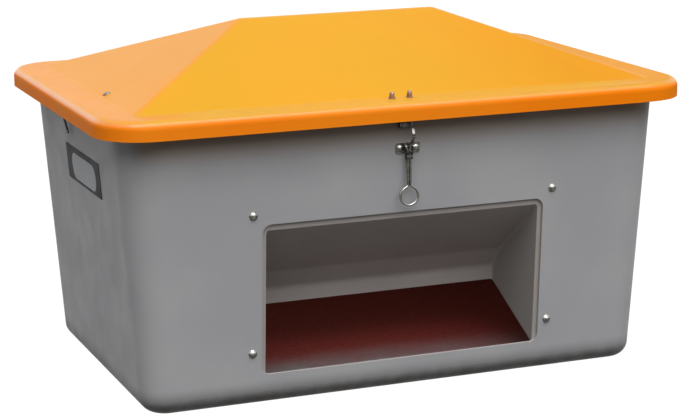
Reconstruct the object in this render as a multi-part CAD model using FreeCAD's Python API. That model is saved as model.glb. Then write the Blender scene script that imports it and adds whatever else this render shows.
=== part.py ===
# Grit salt bin: a tapered glass-fibre tub with a hipped lid, a dispensing chute and a lever latch.
# Millimetres. X runs along the front, -Y is the front and +Z is up.
# The origin is on the ground, under the middle of the bin.
import FreeCAD, Part
import math
import os

V = FreeCAD.Vector
X_AXIS = V(1, 0, 0)
Y_AXIS = V(0, 1, 0)
Z_AXIS = V(0, 0, 1)

# Overall size
LID_W = 1200.0
LID_D = 810.0
BIN_H = 700.0

# Lid moulding
LID_T = 6.0
SKIRT_BOTTOM_Z = 543.0
MARGIN_Z = 579.0
LID_CORNER_R = 98.0
LID_EDGE_R = 16.0
ROOF_HALF_W = 530.0
ROOF_HALF_D = 340.0
RIDGE_HALF = 204.0
HIP_R = 36.0
CREASE_R = 24.0
# What rounding takes off the sharp ridge
RIDGE_LOSS = 2.294

# Tub moulding
TUB_BASE_W = 1034.0
TUB_BASE_D = 660.0
TUB_H = 569.0
# How far each wall leans out from the ground to the top
TUB_SPREAD = 41.0
TUB_WALL = 6.0
TUB_FLOOR = 8.0
# At the ground; the corners are cones that widen with the spread
TUB_CORNER_R = 50.0
TUB_EDGE_R = 31.0
FLANGE_HALF_W = 586.0
FLANGE_HALF_D = 391.0
FLANGE_CORNER_R = 86.0
FLANGE_T = 7.0
KEEPER_NOTCH_HALF = 31.0

# Floor board
BOARD_HALF_W = 485.0
BOARD_HALF_D = 302.0
BOARD_T = 15.0
BOARD_CORNER_R = 30.0
BOARD_CHAMFER = 4.0

# Cut-out in the front wall, measured along the wall
CUTOUT_HALF_W = 291.5
CUTOUT_LOW = 61.5
CUTOUT_HIGH = 360.0
CUTOUT_R = 18.0

# Chute hood, in the front wall's own frame: depth inwards from the outer face, height along the wall
HOOD_T = 4.0
HOOD_FLANGE_T = 5.0
HOOD_FLANGE_HALF_W = 331.0
HOOD_FLANGE_HIGH = 399.0
HOOD_FLANGE_LOW = 74.0
HOOD_FLANGE_R = 25.0
HOOD_MOUTH_HALF = 282.5
HOOD_LIP_HALF = 272.0
HOOD_MOUTH_HIGH = 347.0
HOOD_BREAK = (145.7, 216.1)
HOOD_LIP_TOP = (177.6, 170.7)
HOOD_LIP_BOTTOM = (176.1, 140.7)
HOOD_SILL = (11.0, 58.0)
HOOD_TAPER_DEPTH = 190.0
HOOD_BREAK_R = 60.0
HOOD_LIP_R = 22.0
HOOD_SIDE_R = 6.0
HOOD_FOOT_HALF = 300.0
HOOD_BOLT_X = 310.0
HOOD_BOLT_HEIGHTS = (107.0, 379.5)

# Fasteners: shanks, heads as diameter and height, washers, and nuts as width and height
M6 = 6.0
M5 = 5.0
HOOD_HEAD = (17.0, 5.7)
TETHER_HEAD = (16.0, 4.0)
LID_HEAD = (13.0, 3.6)
BASE_HEAD = (14.0, 4.2)
HEAD_RIM = 0.6
THREAD_END = 2.5
WASHER_T = 1.5
M6_WASHER_D = 16.0
M5_WASHER_D = 12.0
LID_WASHER_D = 14.4
M6_NUT = (10.0, 5.0)
M5_NUT = (8.0, 4.0)
NUT_BEVEL = 0.18
CAP_NUT_H = 12.0
CAP_NUT_DOME_R = 4.75
CAP_NUT_HOLE = 9.0
DRILL_REACH = 30.0

# Latch, near the front wall's middle
LATCH_X = -2.0
LATCH_UP = 490.0
LATCH_OUT = 8.6
BASE_HALF_W = 24.5
BASE_HALF_H = 10.5
BASE_UP = 487.0
BASE_T = 2.5
BASE_CORNER_R = 4.0
BASE_BOLT_X = 16.3
EAR_INNER = 7.0
EAR_OUTER = 9.0
EAR_R = 5.0
PIVOT_R = 2.0
PIVOT_HEAD_R = 3.4
PIVOT_HEAD_T = 1.2
RUNNING_GAP = 0.08
CHEEK_INNER = 4.9
CHEEK_OUTER = 6.7
CHEEK_R = 4.6
YOKE_LENGTH = 24.0
YOKE_HALF_D = 3.2
YOKE_LUG = 7.5
HOOK_PIN_DROP = 8.5
HOOK_PIN_R = 1.75
WIRE_R = 2.2
WIRE_LEG_X = 2.3
WIRE_SOCKET = 6.5
RING_R = 18.0
RING_DROP = 94.9
RING_NECK = 20.0
RING_BEND_R = 4.0
HOOK_HALF_W = 2.5
HOOK_EYE_HALF_W = 3.5
HOOK_STRIP_T = 1.75
HOOK_EYE_R = 3.6
HOOK_STEPS = 14
# Hook's middle line, depth and height from its pin
HOOK_LINE = (
    (-2.7, 0.0),
    (-4.7, 8.0),
    (-9.8, 16.5),
    (-19.5, 25.0),
    (-23.0, 33.5),
    (-20.0, 42.0),
    (-15.8, 48.5),
    (-13.2, 54.0),
    (-11.8, 59.0),
    (-9.8, 63.0),
)

# Keeper under the lid's front margin
KEEPER_X = -9.4
KEEPER_T = 2.5
KEEPER_BACK_Y = -334.0
KEEPER_DROP_Y = -372.5
KEEPER_PLATE_HALF = 26.0
# The lip is set a little to the left of the plate
KEEPER_DROP_ASIDE = -2.0
KEEPER_DROP_HALF = 12.5
KEEPER_CURL_Z = 530.5
KEEPER_CURL_R = 3.4
KEEPER_TIP_Z = 536.0
KEEPER_CORNER_R = 6.0
KEEPER_BOLT = (18.0, -351.5)

# Hinges on the rear wall
HINGE_X = 330.0
HINGE_AXIS_Y = 388.5
HINGE_AXIS_Z = 549.0
HINGE_T = 3.0
HINGE_HALF_W = 40.0
HINGE_CORNER_R = 6.0
HINGE_BEND_R = 7.0
HINGE_BEND_INNER_R = 2.0
KNUCKLE_R = 7.0
KNUCKLE_SPLIT = 15.0
KNUCKLE_GAP = 0.3
HINGE_PIN_R = 4.0
HINGE_PIN_HEAD_R = 6.0
HINGE_PIN_HEAD_T = 2.0
HINGE_BODY_LOW = 492.0
HINGE_BOLT_X = 25.0
HINGE_BODY_BOLT_UP = 511.0
HINGE_LID_FRONT_Y = 334.0
HINGE_LID_BOLT_Y = 351.5
HINGE_TAB_NOTCH_Y = 377.0

# Tether points on the left
TETHER_BOLT = (-515.5, -105.0)
EYE_RING_R = 9.0
EYE_ROD_R = 2.5
EYE_BOSS_R = 6.0
EYE_BOSS_H = 7.0
EYE_HOLE_DEPTH = 6.0
WALL_HOOK_Y = 60.0
WALL_HOOK_UP = 517.0
WALL_HOOK_ROD_R = 2.4
WALL_HOOK_BEND_R = 5.0
WALL_HOOK_IN = 9.0
WALL_HOOK_OUT = 6.0
# Its front bend and its tip: further out, forwards and down from where it leaves the wall
WALL_HOOK_BEND = (0.0, 30.0, 25.0)
WALL_HOOK_TIP = (-3.0, 15.0, 28.0)

# Label plate on the left wall
LABEL_FRONT_Y = -159.5
LABEL_BACK_Y = 90.5
LABEL_LOW = 391.5
LABEL_HIGH = 462.0
LABEL_T = 1.0
LABEL_R = 4.0

# Worked out from the sizes above
LEAN = math.atan(TUB_SPREAD / TUB_H)
ROOF_RISE = BIN_H + RIDGE_LOSS - MARGIN_Z
FRONT_PITCH = ROOF_RISE / ROOF_HALF_D
END_PITCH = ROOF_RISE / (ROOF_HALF_W - RIDGE_HALF)
PIVOT_HOLE_R = PIVOT_R + RUNNING_GAP
HOOK_HOLE_R = HOOK_PIN_R + RUNNING_GAP
HINGE_HOLE_R = HINGE_PIN_R + RUNNING_GAP


def rounded_outline(half_x, half_y, radius, z=0.0):
    """Closed level outline with four equal round corners."""
    corners = []
    for turn, (side_x, side_y) in enumerate([(1, -1), (1, 1), (-1, 1), (-1, -1)]):
        centre_x = side_x * (half_x - radius)
        centre_y = side_y * (half_y - radius)
        points = []
        for step in range(3):
            angle = math.radians(90 * (turn - 1) + 45 * step)
            points.append(V(centre_x + radius * math.cos(angle), centre_y + radius * math.sin(angle), z))
        corners.append(points)
    edges = []
    for turn in range(4):
        start, middle, end = corners[turn]
        edges.append(Part.Arc(start, middle, end).toShape())
        edges.append(Part.LineSegment(end, corners[(turn + 1) % 4][0]).toShape())
    return Part.Wire(edges)


def rounded_plate(half_x, half_y, radius, thickness, z=0.0):
    """Level plate with four round corners, its underside at z."""
    return Part.Face(rounded_outline(half_x, half_y, radius, z)).extrude(V(0, 0, thickness))


def block(low, high):
    """Box between two opposite corners."""
    return Part.makeBox(high[0] - low[0], high[1] - low[1], high[2] - low[2], V(*low))


def profile_along_x(points, half_width):
    """Solid with a depth and height outline, centred on X."""
    corners = [V(-half_width, y, z) for y, z in points]
    face = Part.Face(Part.makePolygon(corners + corners[:1]))
    return face.extrude(V(2 * half_width, 0, 0))


def rod_along_x(radius, low_x, high_x, y, z):
    """Round bar along X."""
    return Part.makeCylinder(radius, high_x - low_x, V(low_x, y, z), X_AXIS)


def pick_edges(shape, test):
    """Edges whose middle point passes the test."""
    return [edge for edge in shape.Edges if test(edge.CenterOfMass, edge)]


def joined(shapes):
    """One solid from pieces that meet."""
    whole = shapes[0].fuse(shapes[1:])
    return whole.removeSplitter()


def stand_up(shape):
    """Turns a level shape to face the front: its upper side becomes the outer side."""
    turned = shape.copy()
    turned.rotate(V(0, 0, 0), X_AXIS, 90)
    return turned


def on_front_wall(shape):
    """Moves a shape from the front wall's own frame to the bin."""
    moved = shape.copy()
    moved.rotate(V(0, 0, 0), X_AXIS, math.degrees(LEAN))
    moved.translate(V(0, -TUB_BASE_D / 2, 0))
    return moved


def on_rear_wall(shape):
    """The same for the rear wall: a mirror image of the front."""
    return on_front_wall(shape).mirror(V(0, 0, 0), Y_AXIS)


def on_left_wall(shape):
    """The same for the left wall: X of the frame runs towards the front."""
    moved = shape.copy()
    moved.rotate(V(0, 0, 0), Z_AXIS, -90)
    moved.rotate(V(0, 0, 0), Y_AXIS, -math.degrees(LEAN))
    moved.translate(V(-TUB_BASE_W / 2, 0, 0))
    return moved


def place(shape, point, direction):
    """Moves a shape made about Z so that Z points along the direction."""
    moved = shape.copy()
    turn = FreeCAD.Rotation(Z_AXIS, V(*direction))
    moved.Placement = FreeCAD.Placement(V(*point), turn).multiply(moved.Placement)
    return moved


def domed_bolt(shank_d, head, length):
    """Bolt along Z: the head stands above zero and the shank below."""
    head_r = head[0] / 2
    rise = head[1] - HEAD_RIM
    start = V(head_r, 0, HEAD_RIM)
    top = V(0, 0, head[1])
    sphere_r = (rise * rise + head_r * head_r) / (2 * rise)
    half_angle = math.asin(head_r / sphere_r) / 2
    middle = V(sphere_r * math.sin(half_angle), 0, head[1] - sphere_r * (1 - math.cos(half_angle)))
    edges = [
        Part.LineSegment(V(0, 0, 0), V(head_r, 0, 0)).toShape(),
        Part.LineSegment(V(head_r, 0, 0), start).toShape(),
        Part.Arc(start, middle, top).toShape(),
        Part.LineSegment(top, V(0, 0, 0)).toShape(),
    ]
    dome = Part.Face(Part.Wire(edges)).revolve(V(0, 0, 0), Z_AXIS, 360)
    shank = Part.makeCylinder(shank_d / 2, length, V(0, 0, -length))
    return joined([dome, shank])


def washer(hole_d, outer_d):
    """Flat ring, its underside at zero."""
    ring = Part.makeCylinder(outer_d / 2, WASHER_T)
    return ring.cut(Part.makeCylinder(hole_d / 2, WASHER_T))


def hex_nut(hole_d, size):
    """Hexagon nut with its corners turned off, its underside at zero."""
    across, height = size
    corner_r = across / math.sqrt(3)
    corners = []
    for step in range(7):
        angle = math.radians(60 * step)
        corners.append(V(corner_r * math.cos(angle), corner_r * math.sin(angle), 0))
    prism = Part.Face(Part.makePolygon(corners)).extrude(V(0, 0, height))
    bevel = NUT_BEVEL * height
    turned = Part.makeCylinder(across / 2 + bevel * 2, height)
    rims = pick_edges(turned, lambda middle, edge: len(edge.Vertexes) == 1)
    turned = turned.makeChamfer(bevel, rims)
    return prism.common(turned).cut(Part.makeCylinder(hole_d / 2, height))


def cap_nut(hole_d, size):
    """Hexagon nut closed by a dome, its underside at zero."""
    flats = hex_nut(hole_d, size)
    shoulder = CAP_NUT_H - CAP_NUT_DOME_R
    neck = Part.makeCylinder(CAP_NUT_DOME_R, shoulder)
    dome = Part.makeSphere(CAP_NUT_DOME_R, V(0, 0, shoulder))
    closed = joined([flats, neck, dome])
    below = block((-size[0], -size[0], -size[0]), (size[0], size[0], 0))
    return closed.cut([below, Part.makeCylinder(hole_d / 2, CAP_NUT_HOLE)])


def cap_fasteners(places, grip):
    """Bolts from inside, with washers and cap nuts outside, at (outer point, outward direction) places."""
    bolts = []
    washers = []
    nuts = []
    length = grip + WASHER_T + CAP_NUT_HOLE - 1
    for point, outward in places:
        direction = V(*outward)
        inside = V(*point) - direction * grip
        bolts.append(place(domed_bolt(M6, LID_HEAD, length), inside, direction * -1))
        washers.append(place(washer(M6, LID_WASHER_D), point, outward))
        nuts.append(place(cap_nut(M6, M6_NUT), V(*point) + direction * WASHER_T, outward))
    return [Part.makeCompound(group) for group in (bolts, washers, nuts)]


def fasteners(places, shank_d, head, grip, washer_d, nut):
    """Bolts, washers and nuts at (head point, outward direction) places through a given grip."""
    bolts = []
    washers = []
    nuts = []
    length = grip + WASHER_T + nut[1] + THREAD_END
    for point, outward in places:
        direction = V(*outward)
        direction.normalize()
        inside = V(*point) - direction * grip
        inward = direction * -1
        bolts.append(place(domed_bolt(shank_d, head, length), point, outward))
        washers.append(place(washer(shank_d, washer_d), inside, inward))
        nuts.append(place(hex_nut(shank_d, nut), inside + inward * WASHER_T, inward))
    return [Part.makeCompound(group) for group in (bolts, washers, nuts)]


def front_point(x, up, out=0.0):
    """A point on the front wall's outer face, or out from it."""
    sine = math.sin(LEAN)
    cosine = math.cos(LEAN)
    return (x, -TUB_BASE_D / 2 - up * sine - out * cosine, up * cosine - out * sine)


def front_normal():
    return (0.0, -math.cos(LEAN), -math.sin(LEAN))


def rear_point(x, up, out=0.0):
    point = front_point(x, up, out)
    return (point[0], -point[1], point[2])


def rear_normal():
    normal = front_normal()
    return (0.0, -normal[1], normal[2])


def left_point(y, up, out=0.0):
    """A point on the left wall's outer face, or out from it."""
    sine = math.sin(LEAN)
    cosine = math.cos(LEAN)
    return (-TUB_BASE_W / 2 - up * sine - out * cosine, y, up * cosine - out * sine)


def left_normal():
    return (-math.cos(LEAN), 0.0, -math.sin(LEAN))


def bent_rod(points, bend_r, rod_r):
    """Round rod along straight runs joined by arcs of one radius."""
    corners = [V(*point) for point in points]
    edges = []
    start = corners[0]
    for index in range(1, len(corners) - 1):
        corner = corners[index]
        before = (corners[index - 1] - corner).normalize()
        after = (corners[index + 1] - corner).normalize()
        half = before.getAngle(after) / 2
        reach = bend_r / math.tan(half)
        first = corner + before * reach
        last = corner + after * reach
        towards = (before + after).normalize()
        middle = corner + towards * (bend_r / math.sin(half) - bend_r)
        edges.append(Part.LineSegment(start, first).toShape())
        edges.append(Part.Arc(first, middle, last).toShape())
        start = last
    edges.append(Part.LineSegment(start, corners[-1]).toShape())
    path = Part.Wire(edges)
    ring = Part.Wire([Part.Circle(corners[0], corners[1] - corners[0], rod_r).toShape()])
    return path.makePipeShell([ring], True, False)


def faceted_solid(outlines):
    """Solid with flat faces, each given by its corners."""
    faces = [Part.Face(Part.makePolygon(outline + outline[:1])) for outline in outlines]
    return Part.Solid(Part.Shell(faces))


def tub_block(inset, bottom_z, edge_r):
    """Tapered block of the tub's shape, drawn in by the inset on every side."""
    low_r = TUB_CORNER_R + TUB_SPREAD * bottom_z / TUB_H - inset
    high_r = TUB_CORNER_R + TUB_SPREAD - inset
    core_x = TUB_BASE_W / 2 - TUB_CORNER_R
    core_y = TUB_BASE_D / 2 - TUB_CORNER_R
    along_front = profile_along_x([
        (-core_y - low_r, bottom_z),
        (core_y + low_r, bottom_z),
        (core_y + high_r, TUB_H),
        (-core_y - high_r, TUB_H),
    ], core_x)
    along_side = profile_along_x([
        (-core_x - low_r, bottom_z),
        (core_x + low_r, bottom_z),
        (core_x + high_r, TUB_H),
        (-core_x - high_r, TUB_H),
    ], core_y)
    along_side.rotate(V(0, 0, 0), Z_AXIS, 90)
    shapes = [along_front, along_side]
    for x in (-core_x, core_x):
        for y in (-core_y, core_y):
            shapes.append(Part.makeCone(low_r, high_r, TUB_H - bottom_z, V(x, y, bottom_z)))
    whole = joined(shapes)
    rim = pick_edges(whole, lambda middle, edge: abs(middle.z - bottom_z) < 0.01)
    return whole.makeFillet(edge_r, rim)


def tub_body():
    """Tub with its rim flange, the front cut-out and the bolt holes."""
    outer = tub_block(0.0, 0.0, TUB_EDGE_R)
    inner = tub_block(TUB_WALL, TUB_FLOOR, TUB_EDGE_R - TUB_WALL)
    flange = rounded_plate(FLANGE_HALF_W, FLANGE_HALF_D, FLANGE_CORNER_R, FLANGE_T, TUB_H - FLANGE_T)
    wall_face = front_point(0, TUB_H)[1]
    notch = block((KEEPER_X - KEEPER_NOTCH_HALF, -FLANGE_HALF_D - 1, TUB_H - FLANGE_T - 1),
                  (KEEPER_X + KEEPER_NOTCH_HALF, wall_face, TUB_H + 1))
    flange = flange.cut(notch)
    shell = joined([outer, flange]).cut(inner)
    height = CUTOUT_HIGH - CUTOUT_LOW
    window = rounded_plate(CUTOUT_HALF_W, height / 2, CUTOUT_R, 2 * DRILL_REACH, -DRILL_REACH)
    window = stand_up(window)
    window.translate(V(0, 0, CUTOUT_LOW + height / 2))
    drills = [on_front_wall(window)]
    for point, outward in hood_places() + latch_places():
        shank_r = M6 / 2 if abs(point[0]) > BASE_HALF_W else M5 / 2
        drills.append(drill(point, outward, shank_r))
    for side in (-1, 1):
        for point, outward in hinge_body_places(side):
            drills.append(drill(point, outward, M6 / 2))
    drills.append(drill(left_point(WALL_HOOK_Y, WALL_HOOK_UP), left_normal(), WALL_HOOK_ROD_R))
    return shell.cut(drills)


def drill(point, outward, radius):
    """Cutter for a hole through a wall, from both sides of the point."""
    return place(Part.makeCylinder(radius, 2 * DRILL_REACH, V(0, 0, -DRILL_REACH)), point, outward)


def floor_board():
    """Board on the tub's floor, its lower edges chamfered clear of the moulding's curve."""
    board = rounded_plate(BOARD_HALF_W, BOARD_HALF_D, BOARD_CORNER_R, BOARD_T, TUB_FLOOR)
    low = pick_edges(board, lambda middle, edge: abs(middle.z - TUB_FLOOR) < 0.01)
    return board.makeChamfer(BOARD_CHAMFER, low)


def hood_block(grow):
    """The space under the hood, grown by the given thickness, in the front wall's frame."""
    mouth = (TUB_WALL, HOOD_MOUTH_HIGH)
    slope = math.atan2(mouth[1] - HOOD_BREAK[1], HOOD_BREAK[0] - mouth[0])
    steep = math.atan2(HOOD_BREAK[1] - HOOD_LIP_TOP[1], HOOD_LIP_TOP[0] - HOOD_BREAK[0])
    turn = (slope + steep) / 2
    half_turn = (steep - slope) / 2
    lip_turn = (steep + math.pi / 2) / 2
    lip_half = (math.pi / 2 - steep) / 2
    points = [
        (mouth[0], mouth[1] + grow / math.cos(slope)),
        (HOOD_BREAK[0] + grow * math.sin(turn) / math.cos(half_turn),
         HOOD_BREAK[1] + grow * math.cos(turn) / math.cos(half_turn)),
        (HOOD_LIP_TOP[0] + grow * math.sin(lip_turn) / math.cos(lip_half),
         HOOD_LIP_TOP[1] + grow * math.cos(lip_turn) / math.cos(lip_half)),
        (HOOD_LIP_BOTTOM[0] + grow, HOOD_LIP_BOTTOM[1]),
        (HOOD_SILL[0] - HOOD_FLANGE_T, HOOD_SILL[1]),
    ]
    if grow == 0:
        # The space runs on below the hood, which has no floor of its own
        points[3] = (HOOD_LIP_BOTTOM[0], 0.0)
        points[4] = (mouth[0], 0.0)
    solid = profile_along_x(points, HOOD_FLANGE_HALF_W)
    plan = [
        V(-HOOD_MOUTH_HALF - grow, TUB_WALL, 0),
        V(HOOD_MOUTH_HALF + grow, TUB_WALL, 0),
        V(HOOD_LIP_HALF + grow, HOOD_TAPER_DEPTH, 0),
        V(-HOOD_LIP_HALF - grow, HOOD_TAPER_DEPTH, 0),
    ]
    sides = Part.Face(Part.makePolygon(plan + plan[:1])).extrude(V(0, 0, HOOD_FLANGE_HIGH))
    solid = solid.common(sides).removeSplitter()

    def on_lip_top(middle, edge):
        return abs(middle.x) < 1 and abs(middle.z - points[2][1]) < 2

    def on_break(middle, edge):
        return abs(middle.x) < 1 and abs(middle.z - points[1][1]) < 2

    def on_side(middle, edge):
        beyond_mouth = middle.y > TUB_WALL + 1
        level = abs(edge.BoundBox.ZMax - edge.BoundBox.ZMin) < 0.1
        on_top_face = middle.z > HOOD_LIP_TOP[1] or middle.y > HOOD_LIP_TOP[0] - 2
        return beyond_mouth and not level and on_top_face and abs(middle.x) > HOOD_LIP_HALF - 1

    solid = solid.makeFillet(HOOD_BREAK_R + grow, pick_edges(solid, on_break))
    solid = solid.makeFillet(HOOD_LIP_R + grow, pick_edges(solid, on_lip_top))
    return solid.makeFillet(HOOD_SIDE_R + grow, pick_edges(solid, on_side))


def chute_hood():
    """Hood with its bolting flange, open below."""
    low = HOOD_FLANGE_LOW
    half_high = (HOOD_FLANGE_HIGH - low) / 2
    flange = rounded_plate(HOOD_FLANGE_HALF_W, half_high, HOOD_FLANGE_R, HOOD_FLANGE_T)
    flange = stand_up(flange)
    flange.translate(V(0, TUB_WALL + HOOD_FLANGE_T, low + half_high))
    foot = block((-HOOD_FOOT_HALF, TUB_WALL, HOOD_SILL[1]),
                 (HOOD_FOOT_HALF, TUB_WALL + HOOD_FLANGE_T, low + half_high))
    hood = joined([hood_block(HOOD_T), flange, foot])
    space = hood_block(0)
    mouth = block((-HOOD_MOUTH_HALF, TUB_WALL - 1, 0), (HOOD_MOUTH_HALF, TUB_WALL + 0.01, HOOD_MOUTH_HIGH))
    hood = on_front_wall(hood.cut([space, mouth]))
    drills = [drill(point, outward, M6 / 2) for point, outward in hood_places()]
    return hood.cut(drills)


def hood_places():
    """Where the hood's bolts sit on the front wall."""
    places = []
    for x in (-HOOD_BOLT_X, HOOD_BOLT_X):
        for up in HOOD_BOLT_HEIGHTS:
            places.append((front_point(x, up), front_normal()))
    return places


def latch_places():
    """Where the latch's two bolts sit, at the wall's outer face."""
    return [(front_point(LATCH_X + x, BASE_UP), front_normal()) for x in (-BASE_BOLT_X, BASE_BOLT_X)]


def at_latch(shape):
    """Moves a latch piece made on the bin's middle line to the latch's place."""
    moved = shape.copy()
    moved.translate(V(LATCH_X, 0, 0))
    return moved


def lifted(places, out):
    """The same places, further out along their own direction."""
    moved = []
    for point, outward in places:
        moved.append((tuple(p + out * n for p, n in zip(point, outward)), outward))
    return moved


def latch_base_plate():
    """Plate with two ears that hold the lever's pin."""
    plate = stand_up(rounded_plate(BASE_HALF_W, BASE_HALF_H, BASE_CORNER_R, BASE_T))
    plate.translate(V(0, 0, BASE_UP))
    shapes = [plate]
    for side in (-1, 1):
        low_x = min(side * EAR_INNER, side * EAR_OUTER)
        high_x = max(side * EAR_INNER, side * EAR_OUTER)
        shapes.append(block((low_x, -LATCH_OUT, LATCH_UP - EAR_R), (high_x, -0.5, LATCH_UP + EAR_R)))
        shapes.append(rod_along_x(EAR_R, low_x, high_x, -LATCH_OUT, LATCH_UP))
    base = on_front_wall(joined(shapes))
    pivot = front_point(0, LATCH_UP, LATCH_OUT)
    base = base.cut(rod_along_x(PIVOT_R, -EAR_OUTER, EAR_OUTER, pivot[1], pivot[2]))
    return at_latch(base).cut([drill(point, outward, M5 / 2) for point, outward in latch_places()])


def latch_pivot_pin(pivot):
    """Riveted pin through both ears."""
    pin = rod_along_x(PIVOT_R, -EAR_OUTER, EAR_OUTER, pivot[1], pivot[2])
    end = EAR_OUTER + PIVOT_HEAD_T
    heads = [
        rod_along_x(PIVOT_HEAD_R, -end, -EAR_OUTER, pivot[1], pivot[2]),
        rod_along_x(PIVOT_HEAD_R, EAR_OUTER, end, pivot[1], pivot[2]),
    ]
    return joined([pin] + heads)


def latch_yoke(pivot):
    """Head of the lever: two cheeks on the pin, and a lug that holds the wires."""
    y = pivot[1]
    z = pivot[2]
    shapes = []
    for side in (-1, 1):
        low_x = min(side * CHEEK_INNER, side * CHEEK_OUTER)
        high_x = max(side * CHEEK_INNER, side * CHEEK_OUTER)
        shapes.append(rod_along_x(CHEEK_R, low_x, high_x, y, z))
        outline = [
            (y - CHEEK_R, z),
            (y + CHEEK_R, z),
            (y + YOKE_HALF_D, z - YOKE_LENGTH),
            (y - YOKE_HALF_D, z - YOKE_LENGTH),
        ]
        cheek = profile_along_x(outline, (high_x - low_x) / 2)
        cheek.translate(V((low_x + high_x) / 2, 0, 0))
        shapes.append(cheek)
    lug_top = z - YOKE_LENGTH + YOKE_LUG
    shapes.append(block((-CHEEK_INNER, y - YOKE_HALF_D, z - YOKE_LENGTH),
                        (CHEEK_INNER, y + YOKE_HALF_D, lug_top)))
    yoke = joined(shapes)
    cuts = [
        rod_along_x(PIVOT_HOLE_R, -EAR_INNER, EAR_INNER, y, z),
        rod_along_x(HOOK_PIN_R, -EAR_INNER, EAR_INNER, y, z - HOOK_PIN_DROP),
    ]
    for x in (-WIRE_LEG_X, WIRE_LEG_X):
        cuts.append(Part.makeCylinder(WIRE_R, WIRE_SOCKET, V(x, y, z - YOKE_LENGTH)))
    return yoke.cut(cuts)


def latch_pull_wire(pivot):
    """One bent wire: two legs side by side that open into a ring."""
    centre_z = pivot[2] - RING_DROP
    neck_z = centre_z + RING_NECK
    reach = math.hypot(WIRE_LEG_X, RING_NECK)
    # Direction from the ring's centre to where the shoulder meets it
    meet = math.atan2(RING_NECK, WIRE_LEG_X) - math.acos(RING_R / reach)
    meet_x = RING_R * math.cos(meet)
    meet_z = RING_R * math.sin(meet)
    top_z = pivot[2] - YOKE_LENGTH + WIRE_SOCKET

    def at(x, z):
        return V(x, pivot[1], z)

    turn = math.atan2(meet_x - WIRE_LEG_X, neck_z - centre_z - meet_z)
    ease = RING_BEND_R * math.tan(turn / 2)
    bend_end = at(WIRE_LEG_X + ease * math.sin(turn), neck_z - ease * math.cos(turn))
    bend_middle = at(WIRE_LEG_X + RING_BEND_R * (1 - math.cos(turn / 2)),
                     neck_z + ease - RING_BEND_R * math.sin(turn / 2))
    bend_start = at(WIRE_LEG_X, neck_z + ease)
    meet_point = at(meet_x, centre_z + meet_z)

    def mirrored(point):
        return V(-point.x, point.y, point.z)

    edges = [
        Part.LineSegment(at(WIRE_LEG_X, top_z), bend_start).toShape(),
        Part.Arc(bend_start, bend_middle, bend_end).toShape(),
        Part.LineSegment(bend_end, meet_point).toShape(),
        Part.Arc(meet_point, at(0, centre_z - RING_R), mirrored(meet_point)).toShape(),
        Part.LineSegment(mirrored(meet_point), mirrored(bend_end)).toShape(),
        Part.Arc(mirrored(bend_end), mirrored(bend_middle), mirrored(bend_start)).toShape(),
        Part.LineSegment(mirrored(bend_start), at(-WIRE_LEG_X, top_z)).toShape(),
    ]
    ring = Part.Wire([Part.Circle(at(WIRE_LEG_X, top_z), Z_AXIS, WIRE_R).toShape()])
    return Part.Wire(edges).makePipeShell([ring], True, False)


def latch_hook(pin):
    """Curved strip with an eye round its pin and a nose that stands over the keeper's lip."""
    middle_line = Part.BSplineCurve()
    middle_line.interpolate([V(0, pin[1] + y, pin[2] + z) for y, z in HOOK_LINE])
    inner = []
    outer = []
    for step in range(HOOK_STEPS + 1):
        share = middle_line.FirstParameter
        share += (middle_line.LastParameter - middle_line.FirstParameter) * step / HOOK_STEPS
        point = middle_line.value(share)
        along = middle_line.tangent(share)[0]
        side = V(0, along.z, -along.y) * (HOOK_STRIP_T / 2)
        inner.append(point + side)
        outer.append(point - side)
    inner_curve = Part.BSplineCurve()
    inner_curve.interpolate(inner)
    outer_curve = Part.BSplineCurve()
    outer_curve.interpolate(outer)
    edges = [
        inner_curve.toShape(),
        Part.LineSegment(inner[-1], outer[-1]).toShape(),
        outer_curve.toShape(),
        Part.LineSegment(outer[0], inner[0]).toShape(),
    ]
    strip = Part.Face(Part.Wire(Part.__sortEdges__(edges))).extrude(V(2 * HOOK_HALF_W, 0, 0))
    strip.translate(V(-HOOK_HALF_W, 0, 0))
    eye = rod_along_x(HOOK_EYE_R, -HOOK_EYE_HALF_W, HOOK_EYE_HALF_W, pin[1], pin[2])
    hook = joined([strip, eye])
    return hook.cut(rod_along_x(HOOK_HOLE_R, -HOOK_EYE_HALF_W, HOOK_EYE_HALF_W, pin[1], pin[2]))


def keeper_bracket():
    """Plate under the lid's margin, bent down in front of the tub and turned up into a lip."""
    top = MARGIN_Z - LID_T
    drop_out = KEEPER_DROP_Y - KEEPER_T
    curl_y = drop_out + KEEPER_T - KEEPER_CURL_R - KEEPER_T / 2
    inner_r = KEEPER_CURL_R - KEEPER_T / 2
    outer_r = KEEPER_CURL_R + KEEPER_T / 2
    plate = block((-KEEPER_PLATE_HALF, drop_out, top - KEEPER_T), (KEEPER_PLATE_HALF, KEEPER_BACK_Y, top))
    corners = pick_edges(plate, lambda middle, edge: abs(middle.z - top + KEEPER_T / 2) < 0.01)
    corners = [edge for edge in corners if edge.CenterOfMass.y > drop_out + 1]
    plate = plate.makeFillet(KEEPER_CORNER_R, corners)
    low_x = KEEPER_DROP_ASIDE - KEEPER_DROP_HALF
    high_x = KEEPER_DROP_ASIDE + KEEPER_DROP_HALF
    drop = block((low_x, drop_out, KEEPER_CURL_Z), (high_x, KEEPER_DROP_Y, top))
    tube = rod_along_x(outer_r, low_x, high_x, curl_y, KEEPER_CURL_Z)
    tube = tube.cut(rod_along_x(inner_r, low_x, high_x, curl_y, KEEPER_CURL_Z))
    tube = tube.cut(block((low_x, curl_y - outer_r, KEEPER_CURL_Z), (high_x, curl_y + outer_r, top)))
    lip = block((low_x, curl_y - outer_r, KEEPER_CURL_Z), (high_x, curl_y - inner_r, KEEPER_TIP_Z))
    bracket = joined([plate, drop, tube, lip])
    bracket.translate(V(KEEPER_X, 0, 0))
    drills = [drill(point, outward, M6 / 2) for point, outward in keeper_places()]
    return bracket.cut(drills)


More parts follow.
